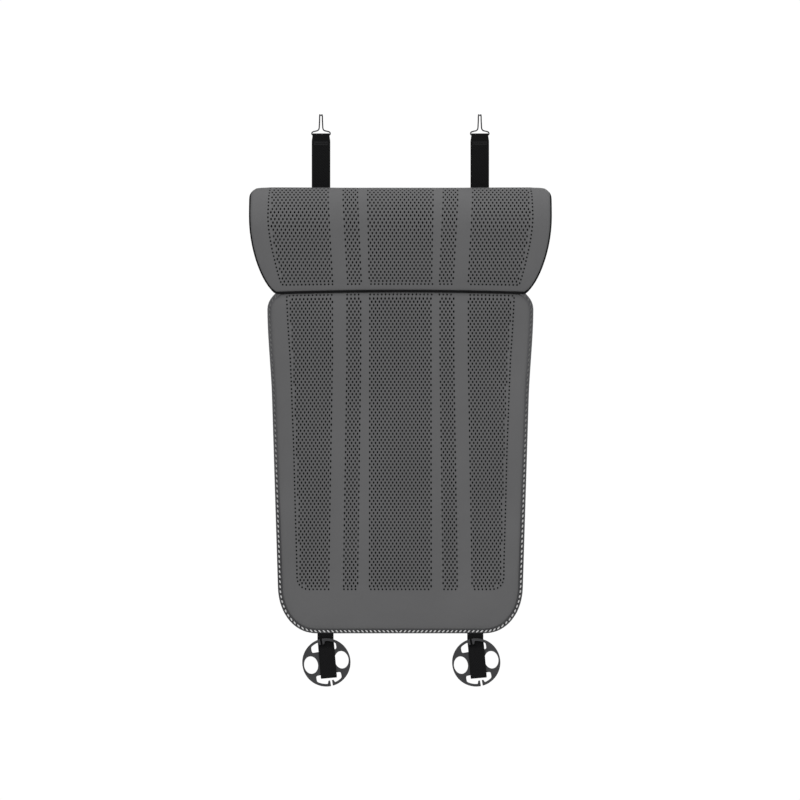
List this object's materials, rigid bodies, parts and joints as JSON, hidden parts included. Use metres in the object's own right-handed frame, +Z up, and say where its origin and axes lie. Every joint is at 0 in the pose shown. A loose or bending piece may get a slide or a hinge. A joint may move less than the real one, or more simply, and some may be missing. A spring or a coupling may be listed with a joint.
{
  "type": "car seat backrest cushion",
  "caption": "Tapered perforated backrest cushion with a head flap that goes over the seat top, strap hooks above and split anchor discs on webbing loops below.",
  "frame": {"origin": "on the back panel's flat rear face, on the centre line, halfway up the whole cushion", "axes": "+X to the right as one faces the cushion, +Y into the seat back, +Z up"},
  "size_m": [0.468, 0.085, 0.8899],
  "materials": {
    "leatherette": "perforated grey leatherette with a fine grain, satin",
    "foam": "open-cell sponge",
    "backing": "non-slip knitted backing",
    "binding": "folded leatherette strip",
    "edge_thread": "pale whipped thread",
    "piping": "black piping cord, satin",
    "webbing": "black polypropylene webbing",
    "black_thread": "black sewing thread",
    "chrome": "bright bent wire",
    "disc_plastic": "moulded dark grey plastic"
  },
  "bodies": {
    "back_panel": {"back_panel_backing": "backing", "back_panel_foam": "foam", "back_panel_skin": "leatherette", "back_panel_edge_binding": "binding", "back_panel_edge_stitching": "edge_thread", "foot_strap_root_left": "webbing", "foot_strap_root_right": "webbing"},
    "head_flap": {"head_flap_backing": "backing", "head_flap_foam": "foam", "head_flap_skin": "leatherette", "head_flap_piping": "piping", "top_strap_root_left": "webbing", "top_strap_root_right": "webbing", "top_strap_box_stitching_left": "black_thread", "top_strap_box_stitching_right": "black_thread"},
    "top_strap_left": {"top_strap_left": "webbing", "top_strap_tack_left": "black_thread"},
    "hook_left": {"hook_left": "chrome"},
    "foot_strap_left": {"foot_strap_loop_left": "webbing"},
    "anchor_disc_left": {"anchor_disc_left": "disc_plastic"},
    "top_strap_right": {"top_strap_right": "webbing", "top_strap_tack_right": "black_thread"},
    "hook_right": {"hook_right": "chrome"},
    "foot_strap_right": {"foot_strap_loop_right": "webbing"},
    "anchor_disc_right": {"anchor_disc_right": "disc_plastic"}
  },
  "joints": [
    {"name": "head_flap_fold", "type": "hinge", "parent": "back_panel", "child": "head_flap", "pos_m": [0, -0.006, 0.166], "axis": [-1, 0, 0], "range_deg": [-60, 70]},
    {"name": "top_strap_left_swing", "type": "hinge", "parent": "head_flap", "child": "top_strap_left", "pos_m": [-0.124, 0.06973, 0.32347], "axis": [-1, 0, 0], "range_deg": [0, 170]},
    {"name": "hook_left_swivel", "type": "hinge", "parent": "top_strap_left", "child": "hook_left", "pos_m": [-0.124, 0.06943, 0.414], "axis": [-1, 0, 0], "range_deg": [-120, 120]},
    {"name": "foot_strap_left_swing", "type": "hinge", "parent": "back_panel", "child": "foot_strap_left", "pos_m": [-0.116, -0.0054, -0.36635], "axis": [1, 0, 0], "range_deg": [-45, 90]},
    {"name": "anchor_disc_left_turn", "type": "hinge", "parent": "foot_strap_left", "child": "anchor_disc_left", "pos_m": [-0.1146, -0.0092, -0.4063], "axis": [0, -1, 0], "range_deg": [-12, 2]},
    {"name": "top_strap_right_swing", "type": "hinge", "parent": "head_flap", "child": "top_strap_right", "pos_m": [0.124, 0.06973, 0.32347], "axis": [-1, 0, 0], "range_deg": [0, 170]},
    {"name": "hook_right_swivel", "type": "hinge", "parent": "top_strap_right", "child": "hook_right", "pos_m": [0.124, 0.06943, 0.414], "axis": [-1, 0, 0], "range_deg": [-120, 120]},
    {"name": "foot_strap_right_swing", "type": "hinge", "parent": "back_panel", "child": "foot_strap_right", "pos_m": [0.116, -0.0054, -0.36635], "axis": [1, 0, 0], "range_deg": [-45, 90]},
    {"name": "anchor_disc_right_turn", "type": "hinge", "parent": "foot_strap_right", "child": "anchor_disc_right", "pos_m": [0.1174, -0.0092, -0.4063], "axis": [0, -1, 0], "range_deg": [-12, 2]}
  ]
}
